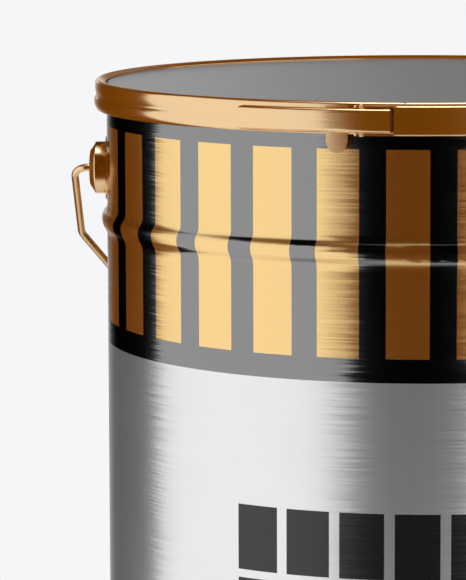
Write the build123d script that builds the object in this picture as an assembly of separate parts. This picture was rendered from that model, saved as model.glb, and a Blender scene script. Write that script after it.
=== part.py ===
from build123d import *
from math import asin, atan, cos, degrees, radians, sin, sqrt
import os

# Steel paint pail with a clamped flat lid, a lever-lock closing ring and a wire bail.
# Millimetres. The origin is on the pail's axis in its base plane, +Z is up, the ring's
# lever is at the front (-Y) and the two bail ears are on the X axis.
# Azimuths are in degrees from the front, positive towards +X.

# ---- body ----
BODY_R = 145.0            # outside radius of the straight wall
WALL = 0.6                # body sheet
CURL_TOP = 340.6          # top of the rolled upper rim
CURL_HEIGHT = 7.05
CURL_WIDTH = 2.9
BEAD_Z = 280.45           # crest of the swage bead
BEAD_PROUD = 2.5
BEAD_UP = 6.85            # bead's run above its crest
BEAD_DOWN = 8.35          # and below it

# ---- bottom end and its double seam ----
END_SHEET = 0.5
SEAM_GAP = 0.05
SEAM_LAYER = 0.65         # pitch from one layer of the seam to the next
SEAM_HEIGHT = 6.5
END_RECESS = 8.0          # height of the bottom panel above the base plane
SEAM_ROUND = 0.8

# ---- lid ----
LID_SHEET = 0.7
LID_TOP = 343.2
LID_PANEL_R = 144.0
LID_RIM_TOP = 342.5       # flat under the ring's upper lip
LID_SKIRT_R = 148.2
LID_SKIRT_IN = 147.55
LID_SKIRT_BOTTOM = 334.4
LID_UNDER = 0.68           # depth of the cap's underside below its top
LID_STEP_IN = 0.3          # the underside's step lies this far inside the top's
LID_CORNER = 0.9
LID_INNER_CORNER = 0.4
LID_SPLIT_Z = LID_RIM_TOP - LID_UNDER - LID_INNER_CORNER
GASKET_THICK = 0.85
GASKET_INNER_R = 145.0
GASKET_OUTER_R = 147.2

# ---- closing ring ----
RING_SHEET = 0.75
RING_LIP_R = 145.4        # inner edge of the upper lip
RING_LIP_Z = 343.7
RING_CREST = (148.2, 344.95)
RING_SHOULDER = (150.05, 343.2)
SHOULDER_MIDDLE = (149.55, 344.5)
RING_WAIST = (149.75, 338.1)
WAIST_FLAT = 0.5          # half height of the narrow flat between the lobes
RING_FOOT = (149.35, 331.3)
UPPER_LOBE = (150.15, 340.6)
LOWER_LOBE = (150.63, 335.0)
RING_GAP = (-2.4, -2.1)   # azimuths of the split
SEAT_R = LOWER_LOBE[0] + 0.03

# ---- lever and its hinge ----
LEVER_LEFT_AZ = -30.4
LEVER_OUTER_R = 155.3
LEVER_SHEET = 0.8
LEVER_BOTTOM = 332.2
LEVER_TOP = 342.6
LEVER_FLANGE_R = 151.65   # inner edge of the lever's flanges
LEVER_EDGE_ROUND = 1.8
LEVER_CORNER = 3.2
LEVER_HEEL = 1.5          # how far the lever runs on past its pin
HINGE_AZ = -5.1
KNUCKLE_R = 1.5
HINGE_R = 152.9
HINGE_PIN_R = 0.8
RUNNING_FIT = 0.05
BODY_GAP = 0.3            # clearance between pieces that move apart
MIDDLE_KNUCKLE = (333.9, 340.9)
BRACKET_SHEET = 0.75
BRACKET_LEFT_AZ = -11.05
BRACKET_HEIGHT = (333.9, 340.9)
BRACKET_RIVET_AZ = (-10.45, -7.4)

# ---- yoke, hook pin and catch clip ----
YOKE_BOTTOM = 331.0
YOKE_TOP = 343.8
YOKE_OUTER_R = 154.8
YOKE_FOOT_R = 150.2
YOKE_SHEET = 0.8
YOKE_EDGE_ROUND = 1.2
YOKE_LEFT = 3.0           # from the hinge pin to the face, clear of the open lever's web
YOKE_RIGHT_AZ = 9.6
YOKE_END_SLOPE = 3.2
HOOK_AZ = -9.2
HOOK_PIN_R = 1.0
HOOK_PIN_CENTRE_R = 152.8
HOOK_PIN_PROUD = 0.45     # how far the cross pin's ends stand out of the yoke's arms
HOOK_BILL = 1.7
CLIP_LEFT_AZ = -15.15
CLIP_RIGHT_AZ = -11.55
CLIP_RIVET_AZ = (-14.15, -12.55)
CLIP_SHEET = 0.65
CLIP_TOP = 343.6
CLIP_TIP = 323.3

# ---- rivets ----
RIVET_SHANK_R = 0.9
RIVET_HEAD_R = 1.4
RIVET_HEAD = 0.7
RIVET_CLINCH = 0.3
RIVET_HOLE_REACH = 3.0    # half length of the tool that cuts a rivet's hole
BRACKET_PLATE = (SEAT_R, SEAT_R + BRACKET_SHEET)
CLIP_PLATE = (SEAT_R, SEAT_R + CLIP_SHEET)

# ---- bail ears ----
EAR_Z = 302.4
EAR_PLATE_R = 14.75
EAR_SHEET = 0.7
CUP_R = 12.2
CUP_FACE_X = 153.1
CUP_FACE_R = 8.3
CUP_BEVEL_X = 2.6
CUP_SHEET = 0.8
CUP_HOLE_R = 2.1

# ---- bail wire and grip ----
WIRE_R = 1.75
LEG_X = 160.9
LEG_LENGTH = 49.0
LEG_BEND_R = 6.5
OBLIQUE_SLOPE = 0.46      # inward run per unit of length along the loop
LOOP_LENGTH = 221.3       # from the ear axis to the wire under the grip
SHOULDER_BEND_R = 10.0
GRIP_BEND_R = 10.0
HANG_ANGLE = 45.0         # below horizontal, where the grip meets the wall
WIRE_HEAD_R = 3.6
WIRE_HEAD = 2.0
GRIP_R = 11.0             # at the middle of its barrel shape
GRIP_END_R = 9.6
GRIP_LENGTH = 112.0
GRIP_BORE_R = WIRE_R + 0.1
GRIP_END_ROUND = 2.0
GROOVE_R = 0.9
GROOVE_COUNT = 4          # at each end of the grip
GROOVE_FIRST = 47.0       # from the grip's middle
GROOVE_PITCH = 3.6


def ring_point(radius, height):
    return Vector(radius, 0, height)


def run(*points):
    """Straight edges through section points given as (radius, height)."""
    ends = [ring_point(*p) for p in points]
    return [Edge.make_line(a, b) for a, b in zip(ends, ends[1:])]


def bow(start, middle, end):
    """One circular arc of a section."""
    return [Edge.make_three_point_arc(ring_point(*start), ring_point(*middle), ring_point(*end))]


def quarter(centre, radius, first, last):
    """Arc about a centre between two angles measured from the radial direction."""
    angles = (first, (first + last) / 2, last)
    points = [(centre[0] + radius * cos(radians(a)), centre[1] + radius * sin(radians(a))) for a in angles]
    return bow(*points)


def s_curve(start, end):
    """Two equal arcs from one radius to another, vertical at both ends."""
    rise = end[1] - start[1]
    shift = end[0] - start[0]
    turn = 2 * atan(abs(shift / rise))
    radius = abs(rise) / (2 * sin(turn))
    side = 1 if shift > 0 else -1
    way = 1 if rise > 0 else -1
    small = radius * (1 - cos(turn / 2))
    step = radius * sin(turn / 2)
    middle = ((start[0] + end[0]) / 2, (start[1] + end[1]) / 2)
    first = (start[0] + side * small, start[1] + way * step)
    second = (end[0] - side * small, end[1] - way * step)
    return bow(start, first, middle) + bow(middle, second, end)


def spun(edges):
    """A closed section turned all the way round the pail's axis."""
    return revolve(Face(Wire(edges)), Axis.Z, 360)


def flat_section(r, z):
    """Rectangular section from (low, high) pairs of radius and height."""
    return Face(Wire(run((r[0], z[0]), (r[1], z[0]), (r[1], z[1]), (r[0], z[1]), (r[0], z[0]))))


def sector(section, first, last):
    """A section turned from one azimuth to another."""
    return Rot(0, 0, first - 90) * revolve(section, Axis.Z, last - first)


def at_front(azimuth, shape):
    """Turns a piece that was built at the front to its azimuth."""
    return Rot(0, 0, azimuth) * shape


def block(x, r, z):
    """A box at the front from (low, high) pairs: across, outward from the axis, and up."""
    size = Box(x[1] - x[0], r[1] - r[0], z[1] - z[0])
    return Pos((x[0] + x[1]) / 2, -(r[0] + r[1]) / 2, (z[0] + z[1]) / 2) * size


def post(x, r, radius, z):
    """An upright cylinder at the front."""
    return Pos(x, -r, (z[0] + z[1]) / 2) * Cylinder(radius, z[1] - z[0])


def radial_rod(radius, r, z):
    """A cylinder at the front that points outward from the axis."""
    return Pos(0, -(r[0] + r[1]) / 2, z) * Rot(90, 0, 0) * Cylinder(radius, r[1] - r[0])


def tube_ring(inner, outer, z):
    return Pos(0, 0, (z[0] + z[1]) / 2) * (Cylinder(outer, z[1] - z[0]) - Cylinder(inner, z[1] - z[0] + 1))


# ---- pail ----

SEAM_INNER_R = BODY_R - WALL - SEAM_GAP - END_SHEET
BODY_HOOK_R = BODY_R + SEAM_LAYER + SEAM_GAP
END_OUTER_R = BODY_HOOK_R + WALL + SEAM_GAP * 2 + END_SHEET


def wall_side(offset):
    """Edges of the wall's surface from above the bead down to below it."""
    r = BODY_R - offset
    crest = (r + BEAD_PROUD, BEAD_Z)
    top = (r, BEAD_Z + BEAD_UP)
    foot = (r, BEAD_Z - BEAD_DOWN)
    return top, s_curve(top, crest) + s_curve(crest, foot), foot


def body_shell():
    """Straight wall with a rolled rim, a swage bead and the seam's body hook."""
    inner_r = BODY_R - WALL
    rim_r = CURL_WIDTH / 2
    bend = rim_r - WALL
    centre = (inner_r + rim_r, CURL_TOP - rim_r)
    low = (centre[0], CURL_TOP - CURL_HEIGHT + rim_r)
    tail_r = BODY_R + BODY_GAP
    foot = END_SHEET + SEAM_GAP * 2
    hook_top = SEAM_HEIGHT - END_SHEET - 1.0
    outer_top, outer_side, outer_foot = wall_side(0)
    inner_top, inner_side, inner_foot = wall_side(WALL)
    edges = run((inner_r, foot), inner_foot)
    edges += inner_side
    edges += run(inner_top, (inner_r, centre[1]))
    edges += quarter(centre, rim_r, 180, 0)
    edges += run((centre[0] + rim_r, centre[1]), (low[0] + rim_r, low[1]))
    edges += quarter(low, rim_r, 0, -90)
    edges += run((low[0], low[1] - rim_r), (tail_r, low[1] - rim_r), (tail_r, low[1] - bend),
                 (low[0], low[1] - bend))
    edges += quarter(low, bend, -90, 0)
    edges += run((low[0] + bend, low[1]), (centre[0] + bend, centre[1]))
    edges += quarter(centre, bend, 0, 180)
    edges += run((BODY_R, centre[1]), outer_top)
    edges += outer_side
    edges += run(outer_foot, (BODY_R, foot + WALL), (BODY_HOOK_R, foot + WALL), (BODY_HOOK_R, hook_top),
                 (BODY_HOOK_R + WALL, hook_top), (BODY_HOOK_R + WALL, foot), (inner_r, foot))
    return spun(edges)


def bottom_end():
    """Recessed bottom panel, its chuck wall and the outer layers of the seam."""
    chuck_out = SEAM_INNER_R + END_SHEET
    wall_in = END_OUTER_R - END_SHEET
    hook_in = BODY_R + SEAM_GAP
    hook_out = hook_in + END_SHEET
    hook_low = END_SHEET + WALL + SEAM_GAP * 6
    top = SEAM_HEIGHT
    under = top - END_SHEET
    panel_low = END_RECESS - END_SHEET
    low_centre = (END_OUTER_R - SEAM_ROUND, SEAM_ROUND)
    top_centre = (END_OUTER_R - SEAM_ROUND, top - SEAM_ROUND)
    edges = run((0, END_RECESS), (0, panel_low), (SEAM_INNER_R, panel_low), (SEAM_INNER_R, 0),
                (low_centre[0], 0))
    edges += quarter(low_centre, SEAM_ROUND, -90, 0)
    edges += run((END_OUTER_R, low_centre[1]), (END_OUTER_R, top_centre[1]))
    edges += quarter(top_centre, SEAM_ROUND, 0, 90)
    edges += run((top_centre[0], top), (hook_in, top), (hook_in, hook_low), (hook_out, hook_low),
                 (hook_out, under), (wall_in, under), (wall_in, END_SHEET), (chuck_out, END_SHEET),
                 (chuck_out, END_RECESS), (0, END_RECESS))
    return spun(edges)


def seam_compound():
    """Sealing compound that fills the top of the body hook's pocket."""
    low = SEAM_HEIGHT - END_SHEET - 0.9
    return tube_ring(BODY_HOOK_R, BODY_HOOK_R + WALL, (low, low + 0.85))


# ---- lid ----

def lid():
    """Flat cap with a lowered rim flat and a rolled corner, down to the skirt."""
    corner_r = LID_SKIRT_R - LID_CORNER
    inner_corner_r = LID_SKIRT_IN - LID_INNER_CORNER
    rim_r = LID_PANEL_R + LID_TOP - LID_RIM_TOP
    edges = run((0, LID_TOP), (LID_PANEL_R, LID_TOP), (rim_r, LID_RIM_TOP), (corner_r, LID_RIM_TOP))
    edges += quarter((corner_r, LID_RIM_TOP - LID_CORNER), LID_CORNER, 90, 0)
    edges += run((LID_SKIRT_R, LID_RIM_TOP - LID_CORNER), (LID_SKIRT_R, LID_SPLIT_Z),
                 (LID_SKIRT_IN, LID_SPLIT_Z))
    edges += quarter((inner_corner_r, LID_SPLIT_Z), LID_INNER_CORNER, 0, 90)
    edges += run((inner_corner_r, LID_RIM_TOP - LID_UNDER), (rim_r - LID_STEP_IN, LID_RIM_TOP - LID_UNDER),
                 (LID_PANEL_R - LID_STEP_IN, LID_TOP - LID_UNDER), (0, LID_TOP - LID_UNDER), (0, LID_TOP))
    return spun(edges)


def lid_skirt():
    """Plain wall that hangs from the cap's corner."""
    return tube_ring(LID_SKIRT_IN, LID_SKIRT_R, (LID_SKIRT_BOTTOM, LID_SPLIT_Z))


def lid_gasket():
    top = LID_RIM_TOP - LID_SHEET + 0.01
    return tube_ring(GASKET_INNER_R, GASKET_OUTER_R, (top - GASKET_THICK, top))


# ---- closing ring ----

def moved(point, r, z):
    return (point[0] + r, point[1] + z)


def closure_ring():
    """Two-lobed C band, split at the yoke, with holes for its rivets."""
    t = RING_SHEET
    lip = (RING_LIP_R, RING_LIP_Z)
    crest_in = moved(RING_CREST, -0.1, -t)
    shoulder_in = moved(RING_SHOULDER, -t, -0.1)
    waist_top = moved(RING_WAIST, 0, WAIST_FLAT)
    waist_low = moved(RING_WAIST, 0, -WAIST_FLAT)
    foot_in = moved(RING_FOOT, -t, 0.15)
    edges = run(lip, RING_CREST)
    edges += bow(RING_CREST, SHOULDER_MIDDLE, RING_SHOULDER)
    edges += bow(RING_SHOULDER, UPPER_LOBE, waist_top)
    edges += run(waist_top, waist_low)
    edges += bow(waist_low, LOWER_LOBE, RING_FOOT)
    edges += run(RING_FOOT, foot_in)
    edges += bow(foot_in, moved(LOWER_LOBE, -t, 0), moved(waist_low, -t, 0))
    edges += run(moved(waist_low, -t, 0), moved(waist_top, -t, 0))
    edges += bow(moved(waist_top, -t, 0), moved(UPPER_LOBE, -t, 0), shoulder_in)
    edges += bow(shoulder_in, moved(SHOULDER_MIDDLE, -0.6, -0.6), crest_in)
    edges += run(crest_in, moved(lip, 0, -t), lip)
    band = sector(Face(Wire(edges)), RING_GAP[1], RING_GAP[0] + 360)
    for azimuth in BRACKET_RIVET_AZ + CLIP_RIVET_AZ:
        band -= rivet_hole(azimuth)
    return band


def rivet_hole(azimuth):
    depth = (RING_WAIST[0] - RIVET_HOLE_REACH, RING_WAIST[0] + RIVET_HOLE_REACH)
    return at_front(azimuth, radial_rod(RIVET_SHANK_R + RUNNING_FIT, depth, RING_WAIST[1]))


def rivets(azimuths, seat):
    """Round-headed rivets whose shanks pass through the ring's waist."""
    inside = RING_WAIST[0] - RING_SHEET
    z = RING_WAIST[1]
    group = []
    for azimuth in azimuths:
        rivet = radial_rod(RIVET_SHANK_R, (inside - RIVET_CLINCH, seat + RIVET_HEAD), z)
        head = radial_rod(RIVET_HEAD_R, (seat, seat + RIVET_HEAD), z)
        outer_edge = head.edges().sort_by(Axis.Y)[0]
        rivet += fillet(outer_edge, RIVET_HEAD * 0.6)
        rivet += radial_rod(RIVET_HEAD_R, (inside - RIVET_CLINCH, inside - 0.06), z)
        group.append(at_front(azimuth, rivet))
    return Compound(children=group)


def hinge_bracket():
    """Plate riveted to the ring's left end, rolled outward into the middle hinge knuckle."""
    r = BRACKET_PLATE
    z = BRACKET_HEIGHT
    right_az = HINGE_AZ + degrees(asin(KNUCKLE_R / HINGE_R))
    plate = sector(flat_section(r, z), BRACKET_LEFT_AZ, right_az)
    for azimuth in BRACKET_RIVET_AZ:
        plate -= rivet_hole(azimuth)
    knuckle = post(0, HINGE_R, KNUCKLE_R, MIDDLE_KNUCKLE)
    neck = block((-KNUCKLE_R, KNUCKLE_R / 2), (r[0] + 0.2, HINGE_R), z)
    bore = post(0, HINGE_R, HINGE_PIN_R + 0.02, (LEVER_BOTTOM, LEVER_TOP))
    return plate + at_front(HINGE_AZ, knuckle + neck) - at_front(HINGE_AZ, bore)


def hinge_pin():
    pin = post(0, HINGE_R, HINGE_PIN_R, (LEVER_BOTTOM + 0.05, LEVER_TOP - 0.05))
    return at_front(HINGE_AZ, chamfer(pin.edges().filter_by(GeomType.CIRCLE), 0.2))


# ---- lever ----

def channel_section(z, outer_r, foot_r, sheet, edge_round):
    """Inward-open channel with rounded outer edges, as a flat section."""
    back = foot_r - 6
    height = z[1] - z[0]
    middle = (z[0] + z[1]) / 2
    outer = Pos((outer_r + back) / 2, middle) * RectangleRounded(outer_r - back, height, edge_round)
    inner = Pos((outer_r + back) / 2 - sheet, middle) * RectangleRounded(
        outer_r - back, height - 2 * sheet, max(edge_round - sheet, 0.2))
    cut = Pos(foot_r - 10, middle) * Rectangle(20, height + 10)
    return Plane.XZ * (outer - inner - cut)


def lever_corner(z_edge, z_centre):
    """What a rounded corner of the lever's free end leaves out, at the front."""
    deep = (LEVER_FLANGE_R - 5, LEVER_OUTER_R + 5)
    way = 1 if z_edge > z_centre else -1
    span = sorted((z_centre, z_edge + way))
    corner = block((-1, LEVER_CORNER), deep, span)
    return corner - Pos(LEVER_CORNER, 0, 0) * radial_rod(LEVER_CORNER, (deep[0] - 1, deep[1] + 1), z_centre)


def lever():
    """Curved channel with a rounded free end, carried by lugs on a pin inside its other end."""
    z = (LEVER_BOTTOM, LEVER_TOP)
    past = (z[0] - 1, z[1] + 1)
    section = channel_section(z, LEVER_OUTER_R, LEVER_FLANGE_R, LEVER_SHEET, LEVER_EDGE_ROUND)
    body = sector(section, LEVER_LEFT_AZ, HINGE_AZ + degrees(LEVER_HEEL / LEVER_OUTER_R))
    for z_edge, z_centre in ((z[0], z[0] + LEVER_CORNER), (z[1], z[1] - LEVER_CORNER)):
        body -= at_front(LEVER_LEFT_AZ, lever_corner(z_edge, z_centre))
    for lug_z in ((z[0], z[0] + LEVER_SHEET), (z[1] - LEVER_SHEET, z[1])):
        body += at_front(HINGE_AZ, post(0, HINGE_R, KNUCKLE_R, lug_z))
    body -= at_front(HINGE_AZ, post(0, HINGE_R, HINGE_PIN_R + RUNNING_FIT, past))
    return body - at_front(HOOK_AZ, post(0, HOOK_PIN_CENTRE_R, HOOK_PIN_R + 0.02, past))


def hook_pin():
    """Cross pin of the lever, standing out above and below it into the yoke's hooks."""
    pin = post(0, HOOK_PIN_CENTRE_R, HOOK_PIN_R, (YOKE_BOTTOM - HOOK_PIN_PROUD, YOKE_TOP + HOOK_PIN_PROUD))
    return at_front(HOOK_AZ, fillet(pin.edges().filter_by(GeomType.CIRCLE), HOOK_PIN_PROUD - 0.01))


# ---- yoke ----

def yoke_arm(z, foot_az):
    """Flat arm that reaches past the lever, with a rounded tip."""
    hook_half = HOOK_PIN_R + BODY_GAP + HOOK_BILL
    tip_az = HOOK_AZ - degrees(asin(hook_half / HOOK_PIN_CENTRE_R))
    arm = sector(flat_section((YOKE_FOOT_R, YOKE_OUTER_R - 0.3), z), tip_az, foot_az)
    return fillet(arm.edges().filter_by(Axis.Z).sort_by(Axis.X)[:2], 1.0)


def closing_yoke():
    """Channel welded to the ring's right end, with two hooked arms that pass the lever."""
    z = (YOKE_BOTTOM, YOKE_TOP)
    section = channel_section(z, YOKE_OUTER_R, YOKE_FOOT_R, YOKE_SHEET, YOKE_EDGE_ROUND)
    left_az = HINGE_AZ + degrees(YOKE_LEFT / YOKE_OUTER_R)
    yoke = sector(section, left_az, YOKE_RIGHT_AZ)
    end = flat_section((SEAT_R, YOKE_OUTER_R - 0.4), (z[0] + 0.4, z[1] - 0.4))
    yoke += sector(end, YOKE_RIGHT_AZ - 1.5, YOKE_RIGHT_AZ)
    side = YOKE_END_SLOPE * sqrt(2)
    slope = Pos(0, -YOKE_OUTER_R, (z[0] + z[1]) / 2) * Rot(0, 0, 45) * Box(side, side, z[1] - z[0] + 2)
    yoke -= at_front(YOKE_RIGHT_AZ, slope)
    for arm_z in ((z[0], z[0] + YOKE_SHEET), (z[1] - YOKE_SHEET, z[1])):
        yoke += yoke_arm(arm_z, left_az + 0.5)
    notch_half = HOOK_PIN_R + BODY_GAP
    notch_deep = (HOOK_PIN_CENTRE_R - notch_half, YOKE_OUTER_R + 3)
    notch = block((-notch_half, notch_half + 0.3), notch_deep, (z[0] - 1, z[1] + 1))
    return yoke - at_front(HOOK_AZ, notch)


def catch_clip():
    """Strap on the ring behind the lever, with a round tongue that hangs below the ring."""
    r = CLIP_PLATE
    strap = sector(flat_section(r, (CLIP_TIP, CLIP_TOP)), CLIP_LEFT_AZ, CLIP_RIGHT_AZ)
    middle = (CLIP_LEFT_AZ + CLIP_RIGHT_AZ) / 2
    half = r[1] * sin(radians((CLIP_RIGHT_AZ - CLIP_LEFT_AZ) / 2))
    round_r = half * 0.94
    deep = (r[0] - 3, r[1] + 3)
    outline = block((-half - 1, half + 1), deep, (CLIP_TIP + round_r, CLIP_TOP + 1))
    outline += radial_rod(round_r, deep, CLIP_TIP + round_r)
    strap = strap & at_front(middle, outline)
    for azimuth in CLIP_RIVET_AZ:
        strap -= rivet_hole(azimuth)
    return strap


# ---- ears (built at +X, mirrored for -X) ----

def along_x(radius, x, z):
    return Pos((x[0] + x[1]) / 2, 0, z) * Rot(0, 90, 0) * Cylinder(radius, x[1] - x[0])


def ear_plate():
    """Round backing plate pressed to the wall's curve."""
    disc = along_x(EAR_PLATE_R, (BODY_R - 10, BODY_R + 10), EAR_Z)
    shell = tube_ring(BODY_R + 0.02, BODY_R + 0.02 + EAR_SHEET, (EAR_Z - 20, EAR_Z + 20))
    return disc & shell


def ear_cup():
    """Pressed cup with a bevelled rim, a flat face and the bail's hole."""
    base_x = BODY_R - 4
    bevel_x = CUP_FACE_X - CUP_BEVEL_X
    face_hole = (CUP_FACE_X - CUP_SHEET * 2, CUP_FACE_X + 2)

    def cup(face_x, side_r, face_r, corner_x):
        outline = [Vector(base_x, 0, 0), Vector(face_x, 0, 0), Vector(face_x, 0, face_r),
                   Vector(corner_x, 0, side_r), Vector(base_x, 0, side_r), Vector(base_x, 0, 0)]
        edges = [Edge.make_line(a, b) for a, b in zip(outline, outline[1:])]
        return revolve(Face(Wire(edges)), Axis.X, 360)

    outer = cup(CUP_FACE_X, CUP_R, CUP_FACE_R, bevel_x)
    outer = fillet(outer.edges().filter_by(GeomType.CIRCLE).sort_by(Axis.X)[-2:], 0.7)
    inner = cup(CUP_FACE_X - CUP_SHEET, CUP_R - CUP_SHEET, CUP_FACE_R - 0.2, bevel_x - 0.35)
    shell = Pos(0, 0, EAR_Z) * (outer - inner)
    shell -= Pos(0, 0, EAR_Z) * Cylinder(BODY_R + EAR_SHEET + 0.04, 60)
    return shell - along_x(CUP_HOLE_R, face_hole, EAR_Z)


# ---- bail ----

def loop_point(across, length):
    """A point of the hanging loop: across the pail, and along the loop from the ear axis."""
    drop = radians(HANG_ANGLE)
    return Vector(across, length * cos(drop), EAR_Z - length * sin(drop))


def middle_half_width():
    return LEG_X - OBLIQUE_SLOPE * (LOOP_LENGTH - LEG_LENGTH)


def bail_wire():
    """Round wire: two stub axles, two legs, two oblique runs and a straight run for the grip."""
    stub = CUP_FACE_X - CUP_SHEET - 2.5
    half = middle_half_width()
    right = [(stub, 0), (LEG_X, 0), (LEG_X, LEG_LENGTH), (half, LOOP_LENGTH)]
    corners = [loop_point(a, b) for a, b in right]
    corners += [loop_point(-a, b) for a, b in reversed(right)]
    bends = [LEG_BEND_R, SHOULDER_BEND_R, GRIP_BEND_R, GRIP_BEND_R, SHOULDER_BEND_R, LEG_BEND_R]
    path = FilletPolyline(*corners, radius=bends)
    start = Plane(corners[0], z_dir=(1, 0, 0))
    wire = sweep(start * Circle(WIRE_R), path=path)
    inner = stub - WIRE_HEAD / 2
    for side in (1, -1):
        span = (inner, inner + WIRE_HEAD) if side > 0 else (-inner - WIRE_HEAD, -inner)
        wire += along_x(WIRE_HEAD_R, span, EAR_Z)
    return wire


def grip_radius(along):
    """Radius of the barrel at a distance from its middle."""
    return GRIP_R - (GRIP_R - GRIP_END_R) * (along / (GRIP_LENGTH / 2)) ** 2


def bail_grip():
    """Moulded barrel on the wire, rounded and grooved at both ends."""
    half = GRIP_LENGTH / 2
    edges = bow((GRIP_END_R, -half), (GRIP_R, 0), (GRIP_END_R, half))
    edges += run((GRIP_END_R, half), (GRIP_BORE_R, half), (GRIP_BORE_R, -half), (GRIP_END_R, -half))
    section = Face(Wire(edges))
    for side in (1, -1):
        for number in range(GROOVE_COUNT):
            along = GROOVE_FIRST - number * GROOVE_PITCH
            centre = Pos(grip_radius(along) + GROOVE_R / 3, side * along)
            section -= Plane.XZ * centre * Circle(GROOVE_R)
    barrel = revolve(section, Axis.Z, 360)
    rims = barrel.edges().filter_by(GeomType.CIRCLE).sort_by(Axis.Z)
    outer_rims = [edge for edge in (rims[0], rims[1], rims[-1], rims[-2]) if edge.radius > GRIP_BORE_R + 1]
    barrel = fillet(outer_rims, GRIP_END_ROUND)
    middle = loop_point(0, LOOP_LENGTH)
    return Pos(middle.X, middle.Y, middle.Z) * Rot(0, 90, 0) * barrel


def write(name, shape):
    export_step(shape, "parts/" + name + ".step")


def main():
    os.makedirs("parts", exist_ok=True)
    write("body_shell", body_shell())
    write("bottom_end", bottom_end())
    write("seam_compound", seam_compound())
    plate = ear_plate()
    cup = ear_cup()
    write("ear_plate_right", plate)
    write("ear_plate_left", mirror(plate, Plane.YZ))
    write("ear_cup_right", cup)
    write("ear_cup_left", mirror(cup, Plane.YZ))
    write("bail_wire", bail_wire())
    write("bail_grip", bail_grip())
    write("lid", lid())
    write("lid_skirt", lid_skirt())
    write("lid_gasket", lid_gasket())
    write("closure_ring", closure_ring())
    write("hinge_bracket", hinge_bracket())
    write("bracket_rivets", rivets(BRACKET_RIVET_AZ, BRACKET_PLATE[1]))
    write("hinge_pin", hinge_pin())
    write("lever", lever())
    write("hook_pin", hook_pin())
    write("closing_yoke", closing_yoke())
    write("catch_clip", catch_clip())
    write("clip_rivets", rivets(CLIP_RIVET_AZ, CLIP_PLATE[1]))


main()
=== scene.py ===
import math

import bmesh
import bpy
from mathutils import Matrix, Vector


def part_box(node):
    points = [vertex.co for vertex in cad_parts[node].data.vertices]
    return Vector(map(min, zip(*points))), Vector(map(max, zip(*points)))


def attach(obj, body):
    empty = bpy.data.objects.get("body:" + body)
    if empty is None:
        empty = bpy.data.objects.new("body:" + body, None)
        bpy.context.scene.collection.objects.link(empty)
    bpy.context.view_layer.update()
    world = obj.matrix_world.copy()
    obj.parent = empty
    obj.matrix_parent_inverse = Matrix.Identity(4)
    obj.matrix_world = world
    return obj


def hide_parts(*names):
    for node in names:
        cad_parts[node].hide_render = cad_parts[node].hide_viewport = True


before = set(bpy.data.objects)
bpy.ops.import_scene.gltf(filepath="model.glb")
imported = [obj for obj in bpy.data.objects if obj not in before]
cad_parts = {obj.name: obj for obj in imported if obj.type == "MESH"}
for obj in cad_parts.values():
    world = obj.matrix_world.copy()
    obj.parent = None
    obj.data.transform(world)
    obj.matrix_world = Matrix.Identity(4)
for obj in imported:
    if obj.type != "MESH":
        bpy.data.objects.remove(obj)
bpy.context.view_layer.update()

# ---- the view: a long lens, slightly above the lid ----
CAMERA_PLACE = (0.0, -1.65717, 0.4663)
CAMERA_YAW = math.radians(-2.997)      # positive turns towards +X
CAMERA_PITCH = math.radians(7.600)     # downward
CAMERA_ROLL = math.radians(-0.184)
LENS = 221.93
SENSOR = 36.0

BACKGROUND = (0.9225, 0.9225, 0.9387)

# ---- the print on the wall, heights in metres ----
BAND_BOTTOM = 0.2241
BAR_COUNT = 30
BAR_CENTRE = math.radians(-1.8)
BAR_WIDTH = math.radians(7.4)
BAR_BOTTOM = 0.2345
BAR_TOP = 0.3244
BLOCK_COUNT = 7
BLOCK_PITCH = math.radians(9.6)
BLOCK_WIDTH = math.radians(7.8)
BLOCK_BOTTOM = 0.1381
BLOCK_TOP = 0.1671
RULE_BOTTOM = 0.1290
RULE_TOP = 0.1345
SEAM_MARGIN = math.radians(176.5)      # the print stops here, short of the welded seam at the back
SEAM_HALF = math.radians(179.75)
BRUSH_SWING = 0.16
RING_SWING = 0.06

# ---- the closing ring's band ----
RING_SHEET = 0.00075
WAIST_HALF = 0.0005
CREST_DROP = 0.000016                  # keeps the arc through the crest inside the CAD box
RING_GAP = (math.radians(-2.4), math.radians(-2.1))
RING_STEPS = 360
SHARP_ANGLE = math.radians(40)

# ---- finishes ----
STEEL_METAL = 0.78
INSIDE_R = 0.1447                      # nearer the axis than this, the wall is its bare inner side
BODY_GRAIN = 1400.0                    # brush lines to a metre across them
GOLD_GRAIN = 1800.0
LINES_PER_RADIAN = 3.0                 # round the can, so a line is about 50 mm long
PRINT_GROUND_SHARE = 0.27              # how much of the gold is its dull, deep colour
LACQUER_GROUND_SHARE = 0.35

# ---- studio: a ring of soft light, angles in degrees from the front and above the horizon ----
SOFTBOX_LIGHT = 1.04
SOFTBOX_INNER_RIGHT = 22.0
SOFTBOX_INNER_LEFT = (24.5, 32.0)      # below and above the bend of its edge
SOFTBOX_BEND = (-7.2, -4.8)
SOFTBOX_OUTER = (109.0, 112.0)
SOFTBOX_HEIGHT = (-55.0, 40.0, 4.0)    # lowest, highest, and how soft the edges are
SOFTBOX_EDGE = 1.5
BACK_FADE = (146.0, 178.0)
LOW_BACK_LIGHT = 1.2
LOW_BACK_HEIGHT = (-45.0, -1.0, 2.0)
HIGH_BACK_LIGHT = 0.15
HIGH_BACK_HEIGHT = (-1.0, 24.0, 3.0)
GLOW_LIGHT = 0.9
GLOW_TURN = (160.0, 178.0, 3.0)
GLOW_HEIGHT = (0.0, 6.5, 1.5)
TOP_LIGHT = 0.9
TOP_HEIGHT = (60.0, 72.0)
UNDER_LIGHT = 0.5
UNDER_HEIGHT = (-75.0, -60.0)
LAMP_PLACE = (0.1, -0.1, 1.6)
LAMP_SIZE = 0.9
LAMP_POWER = 6.0
FLOOR_R = 0.44
FLOOR_SIDES = 96
FLOOR_FADE = (0.19, 0.43)              # the floor is all there at the first radius, gone at the second
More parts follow.
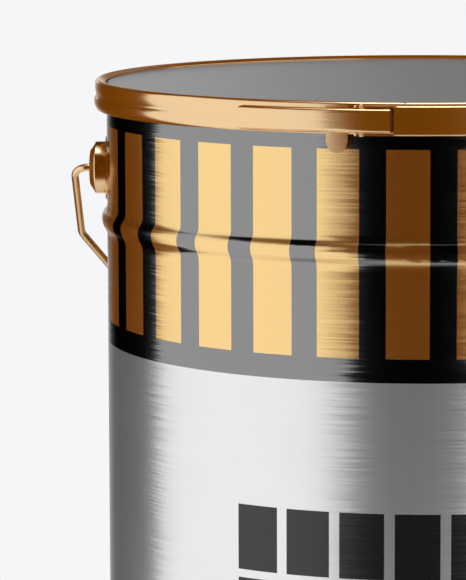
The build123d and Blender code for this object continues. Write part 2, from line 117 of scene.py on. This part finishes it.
CLIP = (0.01, 50.0)

# Sockets of Blender's Mix node: its factor and the two things mixed, for colours and for numbers.
MIX_COLOUR_SOCKETS = (0, 6, 7)
MIX_NUMBER_SOCKETS = (0, 2, 3)
MIX_COLOUR_RESULT = 2


class Nodes:
    """One node tree; its methods add a node and return its output socket."""

    def __init__(self, owner):
        owner.use_nodes = True
        self.tree = owner.node_tree
        self.tree.nodes.clear()

    def put(self, socket, value):
        if isinstance(value, bpy.types.NodeSocket):
            self.tree.links.new(value, socket)
        elif value is not None:
            socket.default_value = value

    def add(self, kind, inputs=None, **settings):
        node = self.tree.nodes.new(kind)
        for name, value in settings.items():
            setattr(node, name, value)
        for name, value in (inputs or {}).items():
            self.put(node.inputs[name], value)
        return node

    def math(self, operation, *values):
        node = self.add("ShaderNodeMath", operation=operation)
        for socket, value in zip(node.inputs, values):
            self.put(socket, value)
        return node.outputs[0]

    def vector(self, operation, *values):
        node = self.add("ShaderNodeVectorMath", operation=operation)
        for socket, value in zip(node.inputs, values):
            self.put(socket, value)
        return node.outputs["Value" if operation in ("LENGTH", "DOT_PRODUCT") else "Vector"]

    def scaled(self, vector, by):
        return self.add("ShaderNodeVectorMath", {"Vector": vector, "Scale": by}, operation="SCALE").outputs[0]

    def split(self, vector):
        return self.add("ShaderNodeSeparateXYZ", {"Vector": vector}).outputs

    def join(self, x, y, z):
        return self.add("ShaderNodeCombineXYZ", {"X": x, "Y": y, "Z": z}).outputs[0]

    def ramp(self, value, low, high, start=0.0, end=1.0):
        """A smooth step from start to end as the value goes from low to high."""
        limits = {"Value": value, "From Min": low, "From Max": high, "To Min": start, "To Max": end}
        return self.add("ShaderNodeMapRange", limits, interpolation_type="SMOOTHSTEP").outputs[0]

    def between(self, value, low, high, soft):
        """1 between two limits, 0 outside them, with soft edges."""
        rise = self.ramp(value, low - soft, low + soft)
        fall = self.ramp(value, high - soft, high + soft, 1.0, 0.0)
        return self.math("MULTIPLY", rise, fall)

    def noise(self, vector, scale, detail=2.0, roughness=0.5):
        return self.add("ShaderNodeTexNoise", {"Vector": vector, "Scale": scale, "Detail": detail,
                                               "Roughness": roughness}).outputs[0]

    def mix(self, factor, a, b):
        """A colour mix."""
        node = self.add("ShaderNodeMix", data_type="RGBA")
        for index, value in zip(MIX_COLOUR_SOCKETS, (factor, a, b)):
            self.put(node.inputs[index], value)
        return node.outputs[MIX_COLOUR_RESULT]

    def blend(self, factor, a, b):
        """A number between a and b."""
        node = self.add("ShaderNodeMix", data_type="FLOAT")
        for index, value in zip(MIX_NUMBER_SOCKETS, (factor, a, b)):
            self.put(node.inputs[index], value)
        return node.outputs[0]

    def place(self):
        return self.add("ShaderNodeTexCoord").outputs["Object"]

    def normal(self):
        return self.add("ShaderNodeNewGeometry").outputs["Normal"]

    def bump(self, height, distance, strength=1.0, normal=None):
        return self.add("ShaderNodeBump", {"Height": height, "Distance": distance, "Strength": strength,
                                           "Normal": normal}).outputs[0]

    def principled(self, **inputs):
        named = {name.replace("_", " "): value for name, value in inputs.items()}
        return self.add("ShaderNodeBsdfPrincipled", named).outputs[0]

    def shader_mix(self, factor, a, b):
        node = self.add("ShaderNodeMixShader")
        for socket, value in zip(node.inputs, (factor, a, b)):
            self.put(socket, value)
        return node.outputs[0]

    def finish(self, shader):
        kind = "ShaderNodeOutputMaterial"
        self.put(self.add(kind).inputs["Surface"], shader)


def rgb(red, green, blue):
    return (red, green, blue, 1.0)


def material(name):
    made = bpy.data.materials.new(name)
    return made, Nodes(made)


def round_place(n):
    """Azimuth from the front, radius and height of a point on the can."""
    x, y, z = n.split(n.place())
    azimuth = n.math("ARCTAN2", x, n.math("MULTIPLY", y, -1.0))
    radius = n.math("SQRT", n.math("ADD", n.math("MULTIPLY", x, x), n.math("MULTIPLY", y, y)))
    return azimuth, radius, z


def brush_lines(n, azimuth, height, grain):
    """Fine level lines, each a little stretch of the way round."""
    across = n.math("MULTIPLY", azimuth, LINES_PER_RADIAN)
    return n.noise(n.join(across, 0.0, n.math("MULTIPLY", height, grain)), 1.0, 3.0, 0.65)


def swung(n, lines, amount):
    """A normal that wanders sideways from one brush line to the next."""
    normal = n.normal()
    side = n.vector("CROSS_PRODUCT", (0.0, 0.0, 1.0), normal)
    swing = n.math("MULTIPLY", n.math("SUBTRACT", lines, 0.5), amount)
    return n.vector("NORMALIZE", n.vector("ADD", normal, n.scaled(side, swing)))


def all_of(n, *masks):
    product = masks[0]
    for mask in masks[1:]:
        product = n.math("MULTIPLY", product, mask)
    return product


def row_of(n, azimuth, centre, pitch, width):
    """1 on upright strips, repeated at a pitch about a centre."""
    away = n.math("PINGPONG", n.math("SUBTRACT", azimuth, centre), pitch / 2)
    return n.math("LESS_THAN", away, width / 2)


def height_range(n, z, low, high):
    return n.math("MULTIPLY", n.math("GREATER_THAN", z, low), n.math("LESS_THAN", z, high))


# ---- body: brushed steel, with a black band, gold bars and plain dark blocks printed on it ----

def body_material():
    made, n = material("printed_brushed_steel")
    azimuth, radius, z = round_place(n)
    turn = n.math("ABSOLUTE", azimuth)
    printed_side = all_of(n, n.math("GREATER_THAN", radius, INSIDE_R), n.math("LESS_THAN", turn, SEAM_MARGIN))
    band = all_of(n, printed_side, n.math("GREATER_THAN", z, BAND_BOTTOM))
    bars = all_of(n, row_of(n, azimuth, BAR_CENTRE, 2 * math.pi / BAR_COUNT, BAR_WIDTH),
                  height_range(n, z, BAR_BOTTOM, BAR_TOP))
    row_half = BLOCK_COUNT * BLOCK_PITCH / 2
    row = all_of(n, printed_side, n.math("LESS_THAN", turn, row_half - (BLOCK_PITCH - BLOCK_WIDTH) / 2))
    blocks = all_of(n, row, row_of(n, azimuth, 0.0, BLOCK_PITCH, BLOCK_WIDTH),
                    height_range(n, z, BLOCK_BOTTOM, BLOCK_TOP))
    rule = all_of(n, row, height_range(n, z, RULE_BOTTOM, RULE_TOP))
    marks = n.math("MAXIMUM", blocks, rule)
    weld = n.math("GREATER_THAN", turn, SEAM_HALF)

    lines = brush_lines(n, azimuth, z, BODY_GRAIN)
    normal = swung(n, lines, BRUSH_SWING)
    scale = n.noise(n.place(), 30.0, 3.0)
    grey = n.math("MULTIPLY", n.blend(lines, 0.86, 0.94), n.blend(scale, 0.96, 1.03))
    grey = n.math("MULTIPLY", grey, n.blend(weld, 1.0, 0.35))
    steel = n.principled(
        Base_Color=n.join(grey, grey, grey), Metallic=STEEL_METAL, Roughness=n.blend(lines, 0.28, 0.38),
        Anisotropic=0.75, Tangent=n.join(0.0, 0.0, 1.0), Normal=normal)
    black = n.principled(
        Base_Color=rgb(0.0006, 0.0006, 0.0006), Metallic=0.0, IOR=3.05,
        Roughness=n.blend(lines, 0.1, 0.16), Normal=normal)
    shine = n.principled(
        Base_Color=rgb(1.0, 0.80, 0.38), Metallic=1.0, Roughness=n.blend(lines, 0.18, 0.26),
        Anisotropic=0.6, Tangent=n.join(0.0, 0.0, 1.0), Normal=normal)
    ground = n.principled(
        Base_Color=rgb(1.0, 0.27, 0.01), Metallic=0.4, Roughness=0.5, Specular_IOR_Level=0.0,
        Normal=normal)
    ink = n.principled(
        Base_Color=n.mix(lines, rgb(0.008, 0.008, 0.008), rgb(0.014, 0.014, 0.014)), Metallic=0.0, IOR=1.6,
        Roughness=n.blend(lines, 0.22, 0.32), Normal=normal)
    gold = n.shader_mix(PRINT_GROUND_SHARE, shine, ground)
    printed = n.shader_mix(bars, black, gold)
    marked = n.shader_mix(marks, steel, ink)
    n.finish(n.shader_mix(band, marked, printed))
    return made


def gold_material(name="gold_lacquer", swing=0.0):
    """Gold lacquer on steel; with a swing, the sheet under it is brushed round the can."""
    made, n = material(name)
    azimuth, radius, z = round_place(n)
    lines = brush_lines(n, azimuth, n.math("ADD", z, radius), GOLD_GRAIN)
    peel = n.noise(n.place(), 900.0, 2.0)
    normal = n.bump(peel, 0.000004, 0.5, swung(n, lines, swing) if swing else None)
    shine = n.principled(
        Base_Color=rgb(0.93, 0.80, 0.50), Metallic=1.0, Roughness=n.blend(lines, 0.1, 0.18), Normal=normal)
    ground = n.principled(
        Base_Color=n.mix(peel, rgb(1.0, 0.29, 0.004), rgb(0.92, 0.26, 0.003)), Metallic=0.5, Roughness=0.5,
        Specular_IOR_Level=0.0, Normal=normal)
    n.finish(n.shader_mix(LACQUER_GROUND_SHARE, shine, ground))
    return made


def lid_material():
    made, n = material("black_lid_painted_reflection")
    place = n.place()
    peel = n.noise(place, 160.0, 2.0)
    fine = n.noise(place, 1500.0, 2.0)
    normal = n.bump(n.math("ADD", peel, n.math("MULTIPLY", fine, 0.2)), 0.00001, 0.15)
    # The lid is black gloss lacquer; its mid-grey base colour is painted reflection of the bright studio
    # around it, not its own colour.
    n.finish(n.principled(
        Base_Color=n.mix(fine, rgb(0.30, 0.30, 0.302), rgb(0.33, 0.33, 0.332)), Metallic=0.0, IOR=1.5,
        Roughness=n.blend(fine, 0.22, 0.3), Normal=normal))
    return made


def tinplate_material():
    made, n = material("tinplate")
    place = n.place()
    grain = n.noise(place, 350.0, 4.0, 0.6)
    grey = n.blend(grain, 0.62, 0.74)
    n.finish(n.principled(
        Base_Color=n.join(grey, grey, grey), Metallic=1.0, Roughness=n.blend(grain, 0.28, 0.42),
        Normal=n.bump(grain, 0.00002, 0.3)))
    return made


def rubber_material(name, colour):
    made, n = material(name)
    pores = n.noise(n.place(), 2200.0, 3.0, 0.7)
    n.finish(n.principled(
        Base_Color=n.mix(pores, rgb(*(0.7 * c for c in colour)), rgb(*colour)),
        Roughness=n.blend(pores, 0.7, 0.9), Normal=n.bump(pores, 0.00005, 0.5)))
    return made


def grip_material():
    made, n = material("grip_plastic")
    place = n.place()
    mottle = n.noise(place, 60.0, 3.0)
    texture = n.noise(place, 3000.0, 2.0, 0.7)
    n.finish(n.principled(
        Base_Color=n.mix(mottle, rgb(0.012, 0.012, 0.013), rgb(0.02, 0.02, 0.021)),
        Roughness=n.blend(texture, 0.38, 0.55), Normal=n.bump(texture, 0.00004, 0.4)))
    return made


def pin_material():
    made, n = material("drawn_steel")
    place = n.place()
    x, y, z = n.split(place)
    drawn = n.noise(n.join(n.math("MULTIPLY", x, 4000.0), n.math("MULTIPLY", y, 4000.0), z), 1.0, 2.0)
    grey = n.blend(drawn, 0.5, 0.64)
    n.finish(n.principled(
        Base_Color=n.join(grey, grey, grey), Metallic=1.0, Roughness=n.blend(drawn, 0.25, 0.4)))
    return made


# ---- closing ring, turned as one smooth band in place of the CAD mesh ----

def arc(start, middle, end, count=10):
    """Points on the circle through three points, from the first to just before the last."""
    a, b, c = (complex(*p) for p in (start, middle, end))
    w = (c - a) / (b - a)
    centre = (b - a) * (w - abs(w) ** 2) / (2j * w.imag) + a
    radius = a - centre
    turn = math.remainder(math.atan2(((b - centre) / radius).imag, ((b - centre) / radius).real), 2 * math.pi)
    rest = math.remainder(math.atan2(((c - centre) / (b - centre)).imag, ((c - centre) / (b - centre)).real),
                          2 * math.pi)
    steps = [(turn + rest) * i / count for i in range(count)]
    points = [centre + radius * complex(math.cos(t), math.sin(t)) for t in steps]
    return [(p.real, p.imag) for p in points]


def shifted(point, r, z):
    return (point[0] + r, point[1] + z)


def ring_outline(outer, top, bottom):
    """The band's two-lobed section, as (radius, height) points set in from its box."""
    lip = (outer - 0.00523, top - 0.00125)
    crest = (outer - 0.00243, top - CREST_DROP)
    shoulder_middle = (outer - 0.00108, top - 0.00045)
    shoulder = (outer - 0.00058, top - 0.00175)
    upper = (outer - 0.00048, top - 0.00435)
    waist = (outer - 0.00088, top - 0.00685)
    waist_high = shifted(waist, 0.00006, WAIST_HALF)
    waist_low = shifted(waist, 0.00006, -WAIST_HALF)
    lower = (outer, top - 0.00995)
    foot = (outer - 0.00128, bottom)
    t = RING_SHEET
    outline = [lip] + arc(crest, shoulder_middle, shoulder) + arc(shoulder, upper, waist_high)
    outline += arc(waist_high, waist, waist_low, 6) + arc(waist_low, lower, foot, 14) + [foot]
    inside = arc(shifted(foot, -t, 0.00015), shifted(lower, -t, 0), shifted(waist, -t, 0))
    inside += arc(shifted(waist, -t, 0), shifted(upper, -t, 0), shifted(shoulder, -t, -0.0001))
    inside += [shifted(shoulder, -t, -0.0001), shifted(crest, -0.0001, -t), shifted(lip, 0, -t)]
    return outline + inside


def turned(name, outline, first, last, steps):
    """A closed outline turned about the can's axis between two azimuths, with flat end faces."""
    points = []
    for i in range(steps + 1):
        azimuth = first + (last - first) * i / steps
        points += [(rad * math.sin(azimuth), -rad * math.cos(azimuth), z) for rad, z in outline]
    count = len(outline)
    faces = [list(range(count)), list(range(steps * count + count - 1, steps * count - 1, -1))]
    for i in range(steps):
        for j in range(count):
            k = (j + 1) % count
            faces.append([i * count + j, (i + 1) * count + j, (i + 1) * count + k, i * count + k])
    mesh = bpy.data.meshes.new(name)
    mesh.from_pydata(points, [], faces)
    work = bmesh.new()
    work.from_mesh(mesh)
    bmesh.ops.recalc_face_normals(work, faces=work.faces)
    work.to_mesh(mesh)
    work.free()
    mesh.shade_smooth()
    mesh.set_sharp_from_angle(angle=SHARP_ANGLE)
    piece = bpy.data.objects.new(name, mesh)
    bpy.context.scene.collection.objects.link(piece)
    return piece


def closing_band(finish):
    low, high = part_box("closure_ring")
    outline = ring_outline(high[0], high[2], low[2])
    band = turned("closing_band", outline, RING_GAP[1], RING_GAP[0] + 2 * math.pi, RING_STEPS)
    band.data.materials.append(finish)
    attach(band, "ring")
    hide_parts("closure_ring")


def dress_nodes():
    gold = gold_material()
    ring = gold_material("gold_lacquer_brushed", RING_SWING)
    closing_band(ring)
    rubber = rubber_material("gasket_rubber", (0.03, 0.03, 0.032))
    lacquer = lid_material()
    finishes = {
        "body_shell": body_material(), "bottom_end": tinplate_material(),
        "seam_compound": rubber_material("sealing_compound", (0.32, 0.29, 0.24)),
        "lever": ring, "closing_yoke": ring, "catch_clip": ring,
        "lid": lacquer, "lid_skirt": lacquer, "lid_gasket": rubber,
        "bail_grip": grip_material(), "hinge_pin": pin_material(),
    }
    for name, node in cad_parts.items():
        finish = finishes.get(name, gold)
        node.data.materials.clear()
        node.data.materials.append(finish)


# ---- studio ----

def studio_world():
    world = bpy.data.worlds.new("studio")
    bpy.context.scene.world = world
    n = Nodes(world)
    x, y, z = n.split(n.vector("NORMALIZE", n.add("ShaderNodeTexCoord").outputs["Generated"]))
    degree = 180 / math.pi
    azimuth = n.math("MULTIPLY", n.math("ARCTAN2", x, n.math("MULTIPLY", y, -1.0)), degree)
    turn = n.math("ABSOLUTE", azimuth)
    height = n.math("MULTIPLY", n.math("ARCSINE", z), degree)
    left = n.math("LESS_THAN", azimuth, 0.0)
    inner = n.blend(left, SOFTBOX_INNER_RIGHT, n.ramp(height, *SOFTBOX_BEND, *SOFTBOX_INNER_LEFT))
    softbox = all_of(n, n.ramp(n.math("SUBTRACT", turn, inner), -SOFTBOX_EDGE, SOFTBOX_EDGE),
                     n.ramp(turn, *SOFTBOX_OUTER, 1.0, 0.0), n.between(height, *SOFTBOX_HEIGHT))
    back = n.ramp(turn, *BACK_FADE)
    low_back = all_of(n, back, back, n.between(height, *LOW_BACK_HEIGHT))
    high_back = all_of(n, back, n.between(height, *HIGH_BACK_HEIGHT))
    glow = all_of(n, left, n.between(turn, *GLOW_TURN), n.between(height, *GLOW_HEIGHT))
    top = n.ramp(height, *TOP_HEIGHT)
    under = n.ramp(height, *UNDER_HEIGHT, 1.0, 0.0)
    light = n.math("MULTIPLY", softbox, SOFTBOX_LIGHT)
    others = ((low_back, LOW_BACK_LIGHT), (high_back, HIGH_BACK_LIGHT), (glow, GLOW_LIGHT),
              (top, TOP_LIGHT), (under, UNDER_LIGHT))
    for part, strength in others:
        light = n.math("ADD", light, n.math("MULTIPLY", part, strength))
    seen = n.add("ShaderNodeLightPath").outputs["Is Camera Ray"]
    colour = n.mix(seen, n.join(light, light, light), (*BACKGROUND, 1.0))
    background = n.add("ShaderNodeBackground", {"Color": colour, "Strength": 1.0})
    n.put(n.add("ShaderNodeOutputWorld").inputs["Surface"], background.outputs[0])


def floor():
    """A pale disc that fades into the background at its edge."""
    turns = [2 * math.pi * i / FLOOR_SIDES for i in range(FLOOR_SIDES)]
    rim = [(FLOOR_R * math.cos(turn), FLOOR_R * math.sin(turn), 0) for turn in turns]
    mesh = bpy.data.meshes.new("floor")
    mesh.from_pydata(rim, [], [list(range(FLOOR_SIDES))])
    disc = bpy.data.objects.new("floor", mesh)
    bpy.context.scene.collection.objects.link(disc)
    made, n = material("pale_floor")
    x, y, _ = n.split(n.place())
    reach = n.math("SQRT", n.math("ADD", n.math("MULTIPLY", x, x), n.math("MULTIPLY", y, y)))
    paint = n.principled(Base_Color=rgb(0.9, 0.9, 0.91), Roughness=0.6, Emission_Color=rgb(0.93, 0.93, 0.95),
                         Emission_Strength=0.42)
    clear = n.add("ShaderNodeBsdfTransparent").outputs[0]
    below = n.add("ShaderNodeNewGeometry").outputs["Backfacing"]
    n.finish(n.shader_mix(n.math("MAXIMUM", below, n.ramp(reach, *FLOOR_FADE)), paint, clear))
    mesh.materials.append(made)


def overhead_light():
    lamp = bpy.data.lights.new("overhead", "AREA")
    lamp.shape = "DISK"
    lamp.size = LAMP_SIZE
    lamp.energy = LAMP_POWER
    light = bpy.data.objects.new("overhead", lamp)
    light.location = LAMP_PLACE
    bpy.context.scene.collection.objects.link(light)


def camera():
    """Looks along its yaw and pitch, turned by its roll about that line."""
    forward = Vector((math.sin(CAMERA_YAW) * math.cos(CAMERA_PITCH),
                      math.cos(CAMERA_YAW) * math.cos(CAMERA_PITCH), -math.sin(CAMERA_PITCH)))
    right = forward.cross(Vector((0, 0, 1))).normalized()
    up = right.cross(forward)
    c, s = math.cos(CAMERA_ROLL), math.sin(CAMERA_ROLL)
    turned_right = c * right + s * up
    turned_up = c * up - s * right
    data = bpy.data.cameras.new("camera")
    data.lens = LENS
    data.sensor_width = SENSOR
    data.clip_start, data.clip_end = CLIP
    cam = bpy.data.objects.new("camera", data)
    turn = Matrix((turned_right, turned_up, -forward)).transposed()
    cam.matrix_world = Matrix.Translation(CAMERA_PLACE) @ turn.to_4x4()
    bpy.context.scene.collection.objects.link(cam)
    bpy.context.scene.camera = cam


bpy.context.scene.view_settings.view_transform = "Standard"
dress_nodes()
studio_world()
floor()
overhead_light()
camera()
